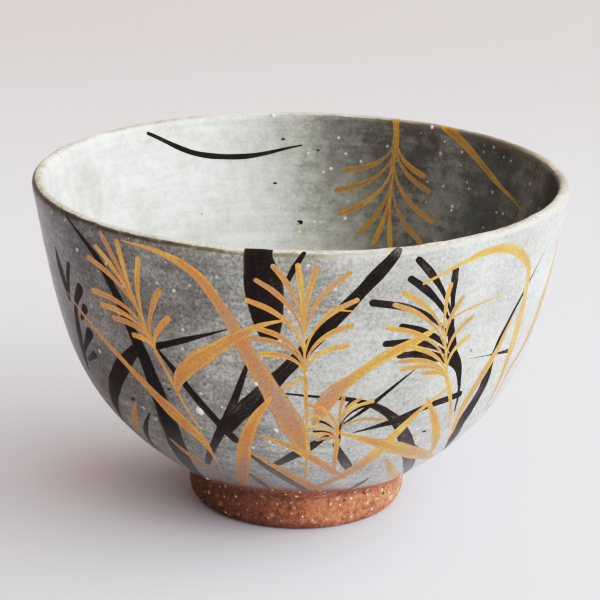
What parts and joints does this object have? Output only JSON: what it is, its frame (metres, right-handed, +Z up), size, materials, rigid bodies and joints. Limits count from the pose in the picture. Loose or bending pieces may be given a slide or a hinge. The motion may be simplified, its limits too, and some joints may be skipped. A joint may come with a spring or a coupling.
{
  "type": "tea bowl",
  "caption": "Round hand-thrown stoneware tea bowl, hollow, with a rounded lip, grey glaze painted with grasses, and a bare clay foot ring that it stands on.",
  "frame": {"origin": "on the table, under the middle of the foot ring", "axes": "+Z up out of the bowl's mouth; the side with the most painting faces -Y"},
  "size_m": [0.1184, 0.1184, 0.0756],
  "materials": {
    "glazed_stoneware": "glossy mottled grey glaze over stoneware, painted in gold and brown-black, with a bare red clay foot"
  },
  "bodies": {
    "root": {"tea_bowl": "glazed_stoneware"}
  },
  "joints": []
}
